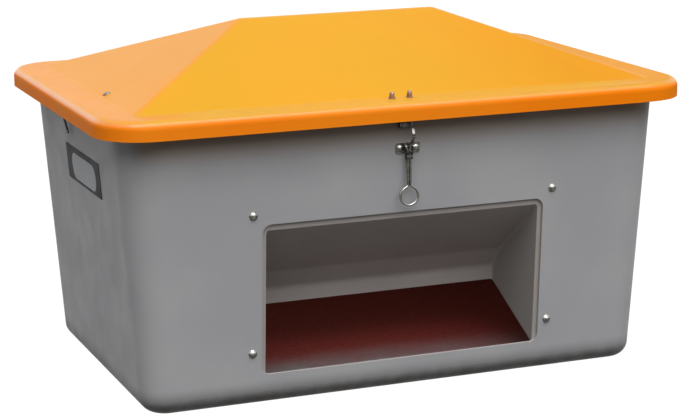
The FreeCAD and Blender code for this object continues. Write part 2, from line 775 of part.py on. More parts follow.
def keeper_places():
    """Where the keeper's bolts sit on the lid."""
    x, y = KEEPER_BOLT
    return [((KEEPER_X + aside, y, MARGIN_Z), (0, 0, 1)) for aside in (-x, x)]


def hinge_body_places(side):
    """Where a hinge's bolts sit on the rear wall, at the wall's outer face."""
    places = []
    for offset in (-HINGE_BOLT_X, HINGE_BOLT_X):
        places.append((rear_point(side * HINGE_X + offset, HINGE_BODY_BOLT_UP), rear_normal()))
    return places


def hinge_lid_places(side):
    """Where a hinge's bolts sit on the lid's rear margin."""
    places = []
    for offset in (-HINGE_BOLT_X, HINGE_BOLT_X):
        places.append(((side * HINGE_X + offset, HINGE_LID_BOLT_Y, MARGIN_Z), (0, 0, 1)))
    return places


def tether_place():
    """Where the bolt sits on the lid's left slope."""
    x, y = TETHER_BOLT
    z = MARGIN_Z + (ROOF_HALF_W + x) * END_PITCH
    return ((x, y, z), (-END_PITCH, 0, 1))


def hinge_body_leaf(side):
    """Rear-wall leaf: a plate on the wall, a tab outwards and two knuckles."""
    middle = side * HINGE_X
    tab_z = HINGE_AXIS_Z - KNUCKLE_R
    wall_top = tab_z + HINGE_T
    half_high = (wall_top - HINGE_BODY_LOW) / 2
    plate = stand_up(rounded_plate(HINGE_HALF_W, half_high, HINGE_CORNER_R, HINGE_T))
    plate.translate(V(0, 0, HINGE_BODY_LOW + half_high))
    plate = on_rear_wall(plate)
    face_y = rear_point(0, tab_z)[1]
    tab = block((-HINGE_HALF_W, face_y + 0.5, tab_z), (HINGE_HALF_W, HINGE_AXIS_Y, wall_top))
    relief = KNUCKLE_SPLIT + KNUCKLE_GAP
    notch = block((-relief, HINGE_TAB_NOTCH_Y, tab_z - 1), (relief, HINGE_AXIS_Y + 1, wall_top + 1))
    shapes = [plate, tab.cut(notch)]
    for low_x, high_x in ((-HINGE_HALF_W, -relief), (relief, HINGE_HALF_W)):
        shapes.append(rod_along_x(KNUCKLE_R, low_x, high_x, HINGE_AXIS_Y, HINGE_AXIS_Z))
    leaf = joined(shapes)
    leaf = leaf.cut(rod_along_x(HINGE_PIN_R, -HINGE_HALF_W, HINGE_HALF_W, HINGE_AXIS_Y, HINGE_AXIS_Z))
    leaf.translate(V(middle, 0, 0))
    return leaf.cut([drill(point, outward, M6 / 2) for point, outward in hinge_body_places(side)])


def hinge_lid_leaf(side):
    """Lid leaf: a plate under the margin, bent down behind the flange to the middle knuckle."""
    middle = side * HINGE_X
    top = MARGIN_Z - LID_T
    back_y = HINGE_AXIS_Y + KNUCKLE_R
    clear_z = HINGE_AXIS_Z + KNUCKLE_R + 2
    plate = block((-HINGE_HALF_W, HINGE_LID_FRONT_Y, top - HINGE_T), (HINGE_HALF_W, back_y, top))
    corners = pick_edges(plate, lambda point, edge: abs(point.z - top + HINGE_T / 2) < 0.01)
    corners = [edge for edge in corners if edge.CenterOfMass.y < back_y - 1]
    plate = plate.makeFillet(HINGE_CORNER_R, corners)
    drop = block((-HINGE_HALF_W, back_y - HINGE_T, clear_z), (HINGE_HALF_W, back_y, top))
    angle = joined([plate, drop])
    bend = pick_edges(angle, lambda point, edge: abs(point.x) < 0.01 and point.z > top - 0.01
                      and point.y > back_y - 0.01)
    angle = angle.makeFillet(HINGE_BEND_R, bend)
    bend = pick_edges(angle, lambda point, edge: abs(point.x) < 0.01 and abs(point.z - top + HINGE_T) < 0.01
                      and abs(point.y - back_y + HINGE_T) < 0.01)
    angle = angle.makeFillet(HINGE_BEND_INNER_R, bend)
    tongue = block((-KNUCKLE_SPLIT, back_y - HINGE_T, HINGE_AXIS_Z), (KNUCKLE_SPLIT, back_y, clear_z))
    knuckle = rod_along_x(KNUCKLE_R, -KNUCKLE_SPLIT, KNUCKLE_SPLIT, HINGE_AXIS_Y, HINGE_AXIS_Z)
    leaf = joined([angle, tongue, knuckle])
    leaf = leaf.cut(rod_along_x(HINGE_HOLE_R, -HINGE_HALF_W, HINGE_HALF_W, HINGE_AXIS_Y, HINGE_AXIS_Z))
    leaf.translate(V(middle, 0, 0))
    return leaf.cut([drill(point, outward, M6 / 2) for point, outward in hinge_lid_places(side)])


def hinge_pin(side):
    """Headed pin, fixed in the body leaf's knuckles."""
    low_x = side * HINGE_X - HINGE_HALF_W
    high_x = side * HINGE_X + HINGE_HALF_W
    return joined([
        rod_along_x(HINGE_PIN_R, low_x, high_x, HINGE_AXIS_Y, HINGE_AXIS_Z),
        rod_along_x(HINGE_PIN_HEAD_R, low_x - HINGE_PIN_HEAD_T, low_x, HINGE_AXIS_Y, HINGE_AXIS_Z),
        rod_along_x(HINGE_PIN_HEAD_R, high_x, high_x + HINGE_PIN_HEAD_T, HINGE_AXIS_Y, HINGE_AXIS_Z),
    ])


def hip_roof(thickness, base_z):
    """Hipped roof block under the outer roof planes, lowered by a thickness measured square to them."""
    front_drop = thickness * math.hypot(1, FRONT_PITCH)
    end_drop = thickness * math.hypot(1, END_PITCH)
    ridge_z = MARGIN_Z + ROOF_RISE - front_drop
    half_x = ROOF_HALF_W - (base_z - MARGIN_Z + end_drop) / END_PITCH
    half_y = ROOF_HALF_D - (base_z - MARGIN_Z + front_drop) / FRONT_PITCH
    ridge_half = ROOF_HALF_W - (ridge_z - MARGIN_Z + end_drop) / END_PITCH
    front_left = V(-half_x, -half_y, base_z)
    front_right = V(half_x, -half_y, base_z)
    rear_right = V(half_x, half_y, base_z)
    rear_left = V(-half_x, half_y, base_z)
    ridge_left = V(-ridge_half, 0, ridge_z)
    ridge_right = V(ridge_half, 0, ridge_z)
    outlines = [
        [front_left, front_right, rear_right, rear_left],
        [front_left, front_right, ridge_right, ridge_left],
        [rear_right, rear_left, ridge_left, ridge_right],
        [rear_left, front_left, ridge_left],
        [front_right, rear_right, ridge_right],
    ]
    return faceted_solid(outlines)


def lid_block(thickness, edge_r, hip_r, crease_r):
    """The lid's outer form, or the space inside it when a thickness is taken off."""
    top = MARGIN_Z - thickness
    margin = rounded_plate(LID_W / 2 - thickness, LID_D / 2 - thickness, LID_CORNER_R - thickness,
                           top - SKIRT_BOTTOM_Z, SKIRT_BOTTOM_Z)
    rim = pick_edges(margin, lambda middle, edge: abs(middle.z - top) < 0.01)
    margin = margin.makeFillet(edge_r, rim)
    whole = joined([margin, hip_roof(thickness, top)])
    hips = pick_edges(whole, lambda middle, edge: middle.z > top + ROOF_RISE / 4)
    whole = whole.makeFillet(hip_r, hips)

    def on_crease(middle, edge):
        inside = abs(middle.x) < ROOF_HALF_W + 5 and abs(middle.y) < ROOF_HALF_D + 5
        return inside and abs(middle.z - top) < 0.01

    return whole.makeFillet(crease_r, pick_edges(whole, on_crease))


def lid_shell():
    """Hollow lid, drilled for every bolt through it."""
    outer = lid_block(0.0, LID_EDGE_R, HIP_R, CREASE_R)
    inner = lid_block(LID_T, LID_EDGE_R - LID_T, HIP_R - LID_T, CREASE_R + LID_T)
    shell = outer.cut(inner)
    places = keeper_places() + hinge_lid_places(-1) + hinge_lid_places(1) + [tether_place()]
    return shell.cut([drill(point, outward, M6 / 2) for point, outward in places])


def tether_eye_nut(point, inward):
    """Nut with a welded ring, under the lid's left bolt."""
    boss = Part.makeCylinder(EYE_BOSS_R, EYE_BOSS_H)
    ring = Part.makeTorus(EYE_RING_R, EYE_ROD_R, V(0, 0, EYE_HOLE_DEPTH + EYE_RING_R + EYE_ROD_R), X_AXIS)
    nut = joined([boss, ring])
    nut = nut.cut(Part.makeCylinder(M6 / 2, EYE_HOLE_DEPTH))
    return place(nut, point, inward)


def wall_hook():
    """Wire through the left wall: a hook outside and an eye inside."""
    inner = left_point(WALL_HOOK_Y, WALL_HOOK_UP, -TUB_WALL - WALL_HOOK_IN)
    outside = left_point(WALL_HOOK_Y, WALL_HOOK_UP, WALL_HOOK_OUT)
    route = [inner, outside]
    for out, forwards, down in (WALL_HOOK_BEND, WALL_HOOK_TIP):
        route.append((outside[0] - out, outside[1] - forwards, outside[2] - down))
    rod = bent_rod(route, WALL_HOOK_BEND_R, WALL_HOOK_ROD_R)
    eye = Part.makeTorus(EYE_RING_R, WALL_HOOK_ROD_R, V(inner[0] + EYE_RING_R, inner[1], inner[2]), Y_AXIS)
    return joined([rod, eye])


def label_plate():
    """Bare plate on the left wall."""
    half_long = (LABEL_BACK_Y - LABEL_FRONT_Y) / 2
    half_high = (LABEL_HIGH - LABEL_LOW) / 2
    plate = stand_up(rounded_plate(half_long, half_high, LABEL_R, LABEL_T))
    plate.translate(V(-(LABEL_BACK_Y + LABEL_FRONT_Y) / 2, 0, LABEL_LOW + half_high))
    return on_left_wall(plate)


def build():
    """Every node by name."""
    pivot = front_point(0, LATCH_UP, LATCH_OUT)
    pin = (0, pivot[1], pivot[2] - HOOK_PIN_DROP)
    nodes = {
        "tub_body": tub_body(),
        "floor_board": floor_board(),
        "chute_hood": chute_hood(),
        "latch_base_plate": latch_base_plate(),
        "latch_pivot_pin": at_latch(latch_pivot_pin(pivot)),
        "latch_yoke": at_latch(latch_yoke(pivot)),
        "latch_pull_wire": at_latch(latch_pull_wire(pivot)),
        "latch_hook_pin": at_latch(rod_along_x(HOOK_PIN_R, -CHEEK_OUTER, CHEEK_OUTER, pin[1], pin[2])),
        "latch_hook": at_latch(latch_hook(pin)),
        "keeper_bracket": keeper_bracket(),
        "lid_shell": lid_shell(),
        "wall_hook": wall_hook(),
        "label_plate": label_plate(),
    }
    for side, word in ((-1, "left"), (1, "right")):
        nodes["hinge_body_leaf_" + word] = hinge_body_leaf(side)
        nodes["hinge_lid_leaf_" + word] = hinge_lid_leaf(side)
        nodes["hinge_pin_" + word] = hinge_pin(side)

    hood_grip = TUB_WALL + HOOD_FLANGE_T
    base_places = lifted(latch_places(), BASE_T)
    hinge_places = lifted(hinge_body_places(-1) + hinge_body_places(1), HINGE_T)
    sets = {
        "hood": (hood_places(), M6, HOOD_HEAD, hood_grip, M6_WASHER_D, M6_NUT),
        "latch_base": (base_places, M5, BASE_HEAD, BASE_T + TUB_WALL, M5_WASHER_D, M5_NUT),
        "hinge_body": (hinge_places, M6, LID_HEAD, HINGE_T + TUB_WALL, M6_WASHER_D, M6_NUT),
    }
    for word, values in sets.items():
        bolts, washers, nuts = fasteners(*values)
        nodes[word + "_bolts"] = bolts
        nodes[word + "_washers"] = washers
        nodes[word + "_nuts"] = nuts

    capped = {
        "keeper": (keeper_places(), LID_T + KEEPER_T),
        "hinge_lid": (hinge_lid_places(-1) + hinge_lid_places(1), LID_T + HINGE_T),
    }
    for word, values in capped.items():
        bolts, washers, nuts = cap_fasteners(*values)
        nodes[word + "_bolts"] = bolts
        nodes[word + "_washers"] = washers
        nodes[word + "_cap_nuts"] = nuts

    point, outward = tether_place()
    direction = V(*outward).normalize()
    under = V(*point) - direction * LID_T
    inward = direction * -1
    bolt_length = LID_T + WASHER_T + EYE_HOLE_DEPTH - 1
    nodes["tether_bolt"] = place(domed_bolt(M6, TETHER_HEAD, bolt_length), point, outward)
    nodes["tether_washer"] = place(washer(M6, M6_WASHER_D), under, inward)
    nodes["tether_eye_nut"] = tether_eye_nut(under + inward * WASHER_T, inward)
    return nodes


def main():
    os.makedirs("parts", exist_ok=True)
    for name, shape in build().items():
        shape.exportStep("parts/" + name + ".step")
        box = shape.BoundBox
        print(name, "solids", len(shape.Solids), "valid", shape.isValid(), "volume", round(shape.Volume),
              "low", [round(v, 1) for v in (box.XMin, box.YMin, box.ZMin)],
              "high", [round(v, 1) for v in (box.XMax, box.YMax, box.ZMax)])


main()
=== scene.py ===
import math

import bpy
from mathutils import Matrix, Vector


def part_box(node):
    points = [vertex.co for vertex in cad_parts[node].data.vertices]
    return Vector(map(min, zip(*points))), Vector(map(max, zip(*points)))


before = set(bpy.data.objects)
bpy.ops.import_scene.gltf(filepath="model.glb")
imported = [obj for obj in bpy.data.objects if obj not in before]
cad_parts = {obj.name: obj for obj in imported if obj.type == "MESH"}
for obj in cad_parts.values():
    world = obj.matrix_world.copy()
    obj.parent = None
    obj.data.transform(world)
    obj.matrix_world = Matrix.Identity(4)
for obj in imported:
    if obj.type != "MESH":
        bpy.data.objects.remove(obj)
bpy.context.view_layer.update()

MM = 0.001

# Camera: the photograph's viewing angle, with its turns in radians and its sensor in millimetres
PHOTO_W = 689
FOCAL_PX = 2101.976
CAMERA_AT = (-1.538768, -3.965397, 1.249545)
CAMERA_YAW = 0.37269
CAMERA_PITCH = 0.22138
CAMERA_ROLL = -0.0103
CAMERA_REACH = 100.0
SENSOR = 36.0

# Light: a faint sky all round and broad lamps, each with its azimuth from +X and its elevation in
# degrees, and the light that a white surface facing it gives back. Their width is in degrees too.
# Gloss shows the front lamp alone.
SKY_TINT = "eef3ff"
SKY_STRENGTH = 0.06
LAMP_WIDTH = 60.0
MAIN_LAMP = "front_lamp"
LAMPS = (
    (MAIN_LAMP, -90.0, 54.0, 0.97),
    ("corner_lamp", -135.0, 30.0, 0.06),
    ("left_lamp", 180.0, 50.0, 0.145),
    ("right_lamp", 0.0, 50.0, 0.14),
    ("back_lamp", 90.0, 50.0, 0.18),
)
# Daylight that comes through the thin lid: a soft lamp under it, above the grit space
INSIDE_LAMP_AT = (0.0, 0.04, 0.50)
INSIDE_LAMP_SIZE = (0.80, 0.46)
INSIDE_LAMP_POWER = 0.40
INSIDE_LAMP_TINT = "ffe6d2"
# In gloss the sky is white at the horizon and greyer overhead, between these rises of the direction
OVERHEAD_FROM = (0.15, 0.75)
OVERHEAD_WHITE = 0.55
WHITE = "ffffff"

# Floor: it glows white to the eye and in gloss, but for a small share of paint that takes the
# bin's soft shadow
FLOOR_REACH = 40.0
FLOOR_UNDER_BIN = 0.2 * MM
FLOOR_PAINT = "c4c4c4"
FLOOR_BOUNCE = "5a5a5a"
FLOOR_GLOW = 1.1
FLOOR_GLOW_SHARE = 0.94

# Ways in which a node works
SMOOTH = {"interpolation_type": "SMOOTHSTEP"}
BLEND = {"data_type": "RGBA", "clamp_factor": True}
BLEND_VALUES = {"data_type": "FLOAT"}
TIMES = {"operation": "MULTIPLY"}
PLUS = {"operation": "ADD", "use_clamp": True}
MINUS = {"operation": "SUBTRACT"}
# The middle part of a noise, from its darker to its lighter patches
PATCHES = (0.3, 0.7)

# Mouldings: a face is on the laminated side where it looks at its moulding's middle. The distance
# from the middle out to the face's plane is then less than zero.
TUB_MIDDLE = (0.0, 0.0, 0.30)
LID_MIDDLE = (0.0, 0.0, 0.543)
LAMINATED_FROM = (0.0, -20 * MM)
GELCOAT_IOR = 1.5
# Chopped glass strands in the laminate, drawn about as thick as a real bundle. They lie in three
# directions, in radians about Z with a share of that about X and Y.
STRAND_LONG = 25 * MM
STRAND_THICK = 1.2 * MM
STRAND_TURNS = (0.3, 1.35, 2.4)
STRAND_LEAN = (0.7, 0.4)
STRANDS_FROM = (0.56, 0.70)
STRANDS_SHOW = 0.5

# Grey gelcoat
GREY_GEL = "adadae"
GREY_GEL_CLOUD = "a6a6a8"
GREY_INSIDE = "9c9a95"
GREY_STRAND = "a3a29d"
HOOD_GEL = "a8a19d"
HOOD_GEL_CLOUD = "a39c98"
GREY_CLOUD_SIZE = 220 * MM
GREY_CLOUD_EDGE = (0.35, 0.65)
GREY_PEEL_SIZE = 6 * MM
GREY_RELIEF = 0.02 * MM
GREY_GLOSS_SIZE = 50 * MM
GREY_ROUGH = (0.50, 0.60)
GREY_POLISH = 0.20
LAMINATE_DULLER = 0.15
# Sawn sill of the front opening: bare resin and a painted highlight, where it faces up
SILL_RESIN_AND_HIGHLIGHT = "aea8a8"
SILL_Y = (-0.315, -0.32)
SILL_FACES_UP = (0.6, 0.8)
# Painted shade under the lid's rim, warm near the rim and grey lower down: heights, share and colour
FACES_FRONT = (-0.5, -0.9)
UNDER_RIM_SHADE = (
    ((0.475, 0.54), 1.0, "988470"),
    ((0.42, 0.515), 0.22, "5a5958"),
)
# Painted shade on the foot, in splash-like patches
FOOT_SHADE = "322e28"
FOOT_SHADE_Z = (0.056, 0.004)
FOOT_SHADE_PATCH_SIZE = 30 * MM
FOOT_SHADE_EDGE = (0.2, 0.7)
FOOT_SHADE_SHARE = (0.84, 1.0)

# Orange gelcoat
ORANGE_DEEP = "ff8402"
ORANGE_FADED = "da9f0a"
ORANGE_RIGHT = "d89008"
ORANGE_END = "e69708"
ORANGE_END_MARGIN = "e18e08"
ORANGE_CLOUD = "f29c18"
ORANGE_INSIDE = "d9822f"
ORANGE_STRAND = "e0a060"
ORANGE_CLOUD_SIZE = 300 * MM
ORANGE_CLOUD_SHARE = 0.25
ORANGE_PEEL_SIZE = 9 * MM
ORANGE_PEEL_SHARE = 0.4
ORANGE_RELIEF = 0.015 * MM
ORANGE_GLOSS_SIZE = 60 * MM
ORANGE_GLOSS_SHARE = 0.04
# How far a face looks up, from the upright skirt at 0 to the flat margin at 1
FADES_FROM = (0.35, 0.93)
FLAT_FROM = (0.985, 0.997)
ROLLED_FROM = (0.3, 0.6)
ROLLED_TO = (0.93, 0.84)
LIP_FROM = (0.55, 0.8)
DULL_FROM = (0.2, 0.8)
# The skirt's roughness, and that of the slopes, which rain keeps clean. The slopes stay over 0.28,
# since patches under that show as dark specks in the render.
LID_ROUGH = (0.62, 0.285)
# How far a face looks to the left
END_SLOPE_FROM = (-0.05, -0.15)
LEFT_EDGE_FROM = (-0.1, -0.6)
# Where the lid's ends begin, along X
LEFT_MARGIN_X = (-0.38, -0.52)
RIGHT_SLOPE_X = (-0.05, 0.5)
RIGHT_MARGIN_X = (-0.4, 0.45)
RIGHT_END_X = (0.42, 0.53)
# Height at which the margin starts to roll over
LIP_Z = (0.5788, 0.5774)
# Specular levels of the chalky slopes and margins, and the share that stays towards the right
SLOPE_POLISH = 0.10
MARGIN_POLISH = 0.10
LEFT_MARGIN_POLISH = 0.03
RIGHT_MARGIN_KEEPS = 0.35
RIGHT_END_KEEPS = 0.15
# Specular levels of the edge that is still polished, and the clear gloss on its left end
ROLLED_POLISH = 0.30
LEFT_EDGE_POLISH = 0.60
LIP_POLISH = 0.75
LEFT_EDGE_COAT = 0.8
COAT_ROUGH = 0.25

# Floor board
FILM_IOR = 1.5
BOARD_FILM = "7d322e"
BOARD_FILM_WORN = "803a36"
PLY_LIGHT = "b08a5c"
PLY_DARK = "7c5836"
PLY_THICK = 1.5 * MM
# The wave texture turns once in this many scaled units
WAVE_TURNS = 0.31416
PLY_WAVER = 0.3
FILM_FACE_FROM = (0.80, 0.95)
SCUFF_SIZE = 20 * MM
SCUFF_TWIST = 1.5
SCUFFS_FROM = (0.5, 0.75)
BOARD_GLOSS_SIZE = 12 * MM
BOARD_ROUGH = (0.38, 0.5)
BOARD_GRAIN_SIZE = 2 * MM
BOARD_RELIEF = 0.03 * MM
# Salt dust and painted light at the mouth
SALT_DUST_AND_LIGHT = "7c7c7e"
DUST_AND_LIGHT_Y = (-0.08, -0.22)
DUST_AND_LIGHT_X = (0.34, -0.10)
DUST_AND_LIGHT_RIGHT_SHARE = (0.45, 1.0)
DUST_AND_LIGHT_PATCH_SIZE = 120 * MM
DUST_AND_LIGHT_PATCH_TWIST = 0.6
DUST_AND_LIGHT_PATCH_EDGE = (0.25, 0.7)
DUST_AND_LIGHT_PATCH_SHARE = (0.55, 1.0)

# Stainless steel: a bright tone, darker tones painted as shade and dark reflection, and a tea stain
# with a painted reflection of the orange lid
STEEL_BRIGHT = "c8c6c0"
STEEL_SHADE = "4a4741"
STEEL_DEEP_SHADE = "2e2b27"
STEEL_STAIN_AND_LID_REFLECTION = "9a7c6c"
# How far up a face looks, 1 being straight up, from which it is painted bright, and how much less
# it looks up where it takes all of the painted shade and dark reflection
BRIGHT_SLOPES_FROM = 0.45
BRIGHT_TOPS_ONLY = 1.0
SHADE_FALL = 0.45
SHADE_SPOT_SIZE = 4 * MM
SHADE_SPOT_EDGE = (0.2, 0.6)
SHADE_SPOT_SHARE = (0.7, 1.0)
STEEL_RELIEF = 0.01 * MM
# Sizes along X, Y and Z of the grain that each way of forming the steel leaves, and its roughness
HEADED_GRAIN = (3 * MM, 3 * MM, 3 * MM)
HEADED_ROUGH = (0.28, 0.38)
HEADED_CLEAN_ROUGH = (0.30, 0.40)
WIRE_GRAIN = (1.5 * MM, 1.5 * MM, 12 * MM)
WIRE_ROUGH = (0.28, 0.36)
SHEET_GRAIN = (20 * MM, 1.2 * MM, 1.2 * MM)
SHEET_ROUGH = (0.30, 0.42)
SHEET_SHADED_PARTS_ROUGH = (0.40, 0.50)
# A painted glint across the hook's waist: heights, edge, and the share of the painted dark left there
HOOK_GLINT_Z = (0.517, 0.526)
GLINT_EDGE = 3 * MM
GLINT_KEEPS_DARK = 0.45

# Label: its paler panel's distance from the film's edges, and that panel's rounding
LABEL_IOR = 1.46
LABEL_POLISH = 0.10
LABEL_DARK = "2c2e30"
LABEL_PALE = "cdced0"
PANEL_FROM_FRONT = 32.5 * MM
PANEL_FROM_REAR = 39.5 * MM
PANEL_FROM_LOW = 6 * MM
PANEL_FROM_HIGH = 12 * MM
PANEL_CORNER = 24 * MM
PANEL_BLUR = 0.6 * MM
LABEL_GLOSS_SIZE = 20 * MM
LABEL_ROUGH = (0.58, 0.68)
LABEL_GRAIN_SIZE = 3 * MM
LABEL_RELIEF = 0.02 * MM


def linear(hex_colour):
    """Linear colour with alpha from an sRGB hex value."""
    channels = []
    for start in (0, 2, 4):
        value = int(hex_colour[start:start + 2], 16) / 255
        if value <= 0.04045:
            channels.append(value / 12.92)
        else:
            channels.append(((value + 0.055) / 1.055) ** 2.4)
    return (*channels, 1.0)


def add(tree, kind, settings, sockets):
    """Adds a node with its settings. Its sockets are filled by name, or by a list in their order,
    with a number, a hex colour, a node whose first output is linked, or (node, output)."""
    node = tree.nodes.new("ShaderNode" + kind)
    for name, value in settings.items():
        setattr(node, name, value)
    if isinstance(sockets, dict):
        filled = [(node.inputs[name], value) for name, value in sockets.items()]
    else:
        filled = zip([socket for socket in node.inputs if socket.enabled], sockets)
    for socket, value in filled:
        if isinstance(value, bpy.types.Node):
            tree.links.new(next(output for output in value.outputs if output.enabled), socket)
        elif isinstance(value, tuple) and isinstance(value[0], bpy.types.Node):
            tree.links.new(value[0].outputs[value[1]], socket)
        elif isinstance(value, str):
            socket.default_value = linear(value)
        else:
            socket.default_value = value
    return node


def new_material(name):
    """An empty node material and its tree."""
    material = bpy.data.materials.new(name)
    material.use_nodes = True
    material.node_tree.nodes.clear()
    return material, material.node_tree


def finish_surface(tree, colour, roughness, height, depth, others):
    """Closes a material with its colour, roughness, relief of a depth in metres and other sockets."""
    bump = add(tree, "Bump", {}, {"Height": height, "Distance": depth, "Strength": 1.0})
    shader = add(tree, "BsdfPrincipled", {}, {
        "Base Color": colour,
        "Roughness": roughness,
        "Normal": bump,
        **others,
    })
    add(tree, "OutputMaterial", {}, {"Surface": shader})


def laminated_side(tree, coords, middle):
    """1 on a moulding's laminated side, which looks at its middle, and 0 outside."""
    from_middle = add(tree, "VectorMath", MINUS, [(coords, "Object"), middle])
    facing = add(tree, "VectorMath", {"operation": "DOT_PRODUCT"}, [from_middle, (coords, "Normal")])
    return add(tree, "MapRange", SMOOTH, [facing, *LAMINATED_FROM])


def glass_strands(tree, place):
    """Chopped glass strands under the resin: short streaks in three directions."""
    thin = (1 / STRAND_LONG, 1 / STRAND_THICK, 1 / STRAND_THICK)
    total = None
    for turn in STRAND_TURNS:
        turned = add(tree, "Mapping", {}, {
            "Vector": place,
            "Rotation": (turn * STRAND_LEAN[0], turn * STRAND_LEAN[1], turn),
            "Scale": thin,
        })
        noise = add(tree, "TexNoise", {}, {"Vector": turned, "Scale": 1.0, "Detail": 1.0})
        streaks = add(tree, "MapRange", SMOOTH, [noise, *STRANDS_FROM])
        total = streaks if total is None else add(tree, "Math", PLUS, [total, streaks])
    return total


def shaded_wall(tree, place, at, facing, colour):
    """The wall's colour with painted shade under the lid's rim and on the foot."""
    # Painted shade on the front wall under the lid's rim, where its overhang shades it
    front = add(tree, "MapRange", SMOOTH, [(facing, "Y"), *FACES_FRONT])
    for heights, share, tone in UNDER_RIM_SHADE:
        high = add(tree, "MapRange", SMOOTH, [(at, "Z"), *heights, 0.0, share])
        rim_shade = add(tree, "Math", TIMES, [high, front])
        colour = add(tree, "Mix", BLEND, [rim_shade, colour, tone])

    # Painted shade on the rounded foot, where the wall turns under, in splash-like patches
    low = add(tree, "MapRange", SMOOTH, [(at, "Z"), *FOOT_SHADE_Z])
    foot_patches = add(tree, "TexNoise", {}, {"Vector": place, "Scale": 1 / FOOT_SHADE_PATCH_SIZE, "Detail": 4.0})
    patchy = add(tree, "MapRange", SMOOTH, [foot_patches, *FOOT_SHADE_EDGE, *FOOT_SHADE_SHARE])
    foot_dark = add(tree, "Math", TIMES, [low, patchy])
    return add(tree, "Mix", BLEND, [foot_dark, colour, FOOT_SHADE])


def grey_gelcoat(name, tint, tint_cloud):
    """Pigmented polyester gelcoat off a polished mould: half gloss with a faint orange peel outside,
    and on the laminated side resin over chopped glass strands, duller and uneven."""
    material, tree = new_material(name)
    coords = add(tree, "TexCoord", {}, {})
    place = (coords, "Object")
    at = add(tree, "SeparateXYZ", {}, [place])
    facing = add(tree, "SeparateXYZ", {}, [(coords, "Normal")])
    inside = laminated_side(tree, coords, TUB_MIDDLE)

    clouds = add(tree, "TexNoise", {}, {"Vector": place, "Scale": 1 / GREY_CLOUD_SIZE, "Detail": 3.0})
    cloudy = add(tree, "MapRange", SMOOTH, [clouds, *GREY_CLOUD_EDGE])
    outer = add(tree, "Mix", BLEND, [cloudy, tint, tint_cloud])
    strands = glass_strands(tree, place)
    glassy = add(tree, "Math", TIMES, [strands, STRANDS_SHOW])
    laminate = add(tree, "Mix", BLEND, [glassy, GREY_INSIDE, GREY_STRAND])
    colour = add(tree, "Mix", BLEND, [inside, outer, laminate])

    # The sawn sill shows bare resin, with a painted highlight where it faces up
    at_sill = add(tree, "MapRange", SMOOTH, [(at, "Y"), *SILL_Y])
    faces_up = add(tree, "MapRange", SMOOTH, [(facing, "Z"), *SILL_FACES_UP])
    sawn_lit = add(tree, "Math", TIMES, [at_sill, faces_up])
    sawn_lit = add(tree, "Math", TIMES, [sawn_lit, inside])
    colour = add(tree, "Mix", BLEND, [sawn_lit, colour, SILL_RESIN_AND_HIGHLIGHT])
    colour = shaded_wall(tree, place, at, facing, colour)

    peel = add(tree, "TexNoise", {}, {"Vector": place, "Scale": 1 / GREY_PEEL_SIZE, "Detail": 1.0})
    relief = add(tree, "Mix", BLEND_VALUES, [inside, peel, strands])
    wear = add(tree, "TexNoise", {}, {"Vector": place, "Scale": 1 / GREY_GLOSS_SIZE, "Detail": 3.0})
    gloss = add(tree, "MapRange", SMOOTH, [wear, *PATCHES, *GREY_ROUGH])
    duller = add(tree, "Math", TIMES, [inside, LAMINATE_DULLER])
    roughness = add(tree, "Math", PLUS, [gloss, duller])
    finish_surface(tree, colour, roughness, relief, GREY_RELIEF, {
        "IOR": GELCOAT_IOR, "Specular IOR Level": GREY_POLISH})
    return material


def lid_parts(tree, at, facing):
    """Where each part of the lid is, as shares: its rolled edge, the left end of that edge, the right
    of its slopes, and the ends of its flat margin."""
    flat = add(tree, "MapRange", SMOOTH, [(facing, "Z"), *FLAT_FROM])
    off_skirt = add(tree, "MapRange", SMOOTH, [(facing, "Z"), *ROLLED_FROM])
    off_slopes = add(tree, "MapRange", SMOOTH, [(facing, "Z"), *ROLLED_TO])
    rolled = add(tree, "Math", TIMES, [off_skirt, off_slopes])
    not_flat = add(tree, "MapRange", SMOOTH, [flat, 1.0, 0.0])
    not_rolled = add(tree, "MapRange", SMOOTH, [rolled, 1.0, 0.0])
    sloping = add(tree, "Math", TIMES, [not_flat, not_rolled])
    rightwards = add(tree, "MapRange", SMOOTH, [(at, "X"), *RIGHT_SLOPE_X])
    faces_left = add(tree, "MapRange", SMOOTH, [(facing, "X"), *LEFT_EDGE_FROM])
    parts = {
        "rolled": rolled,
        "left_edge": add(tree, "Math", TIMES, [rolled, faces_left]),
        "right_slope": add(tree, "Math", TIMES, [rightwards, sloping]),
    }
    margins = {"left_margin": LEFT_MARGIN_X, "right_margin": RIGHT_MARGIN_X, "right_end": RIGHT_END_X}
    for name, edges in margins.items():
        end = add(tree, "MapRange", SMOOTH, [(at, "X"), *edges])
        parts[name] = add(tree, "Math", TIMES, [flat, end])
    return parts


def faded_orange(tree, place, facing, parts):
    """Orange as the sun has left it: deep on the skirt and yellower where it faces up, less faded at
    the left end and a little darker at the right."""
    end_slope = add(tree, "MapRange", SMOOTH, [(facing, "X"), *END_SLOPE_FROM])
    faded = ORANGE_FADED
    for share, tone in (
        (parts["right_slope"], ORANGE_RIGHT),
        (end_slope, ORANGE_END),
        (parts["left_margin"], ORANGE_END_MARGIN),
        (parts["right_end"], ORANGE_RIGHT),
    ):
        faded = add(tree, "Mix", BLEND, [share, faded, tone])
    upward = add(tree, "MapRange", SMOOTH, [(facing, "Z"), *FADES_FROM])
    outer = add(tree, "Mix", BLEND, [upward, ORANGE_DEEP, faded])
    clouds = add(tree, "TexNoise", {}, {"Vector": place, "Scale": 1 / ORANGE_CLOUD_SIZE, "Detail": 2.0})
    cloudy = add(tree, "MapRange", SMOOTH, [clouds, *PATCHES, 0.0, ORANGE_CLOUD_SHARE])
    return add(tree, "Mix", BLEND, [cloudy, outer, ORANGE_CLOUD])


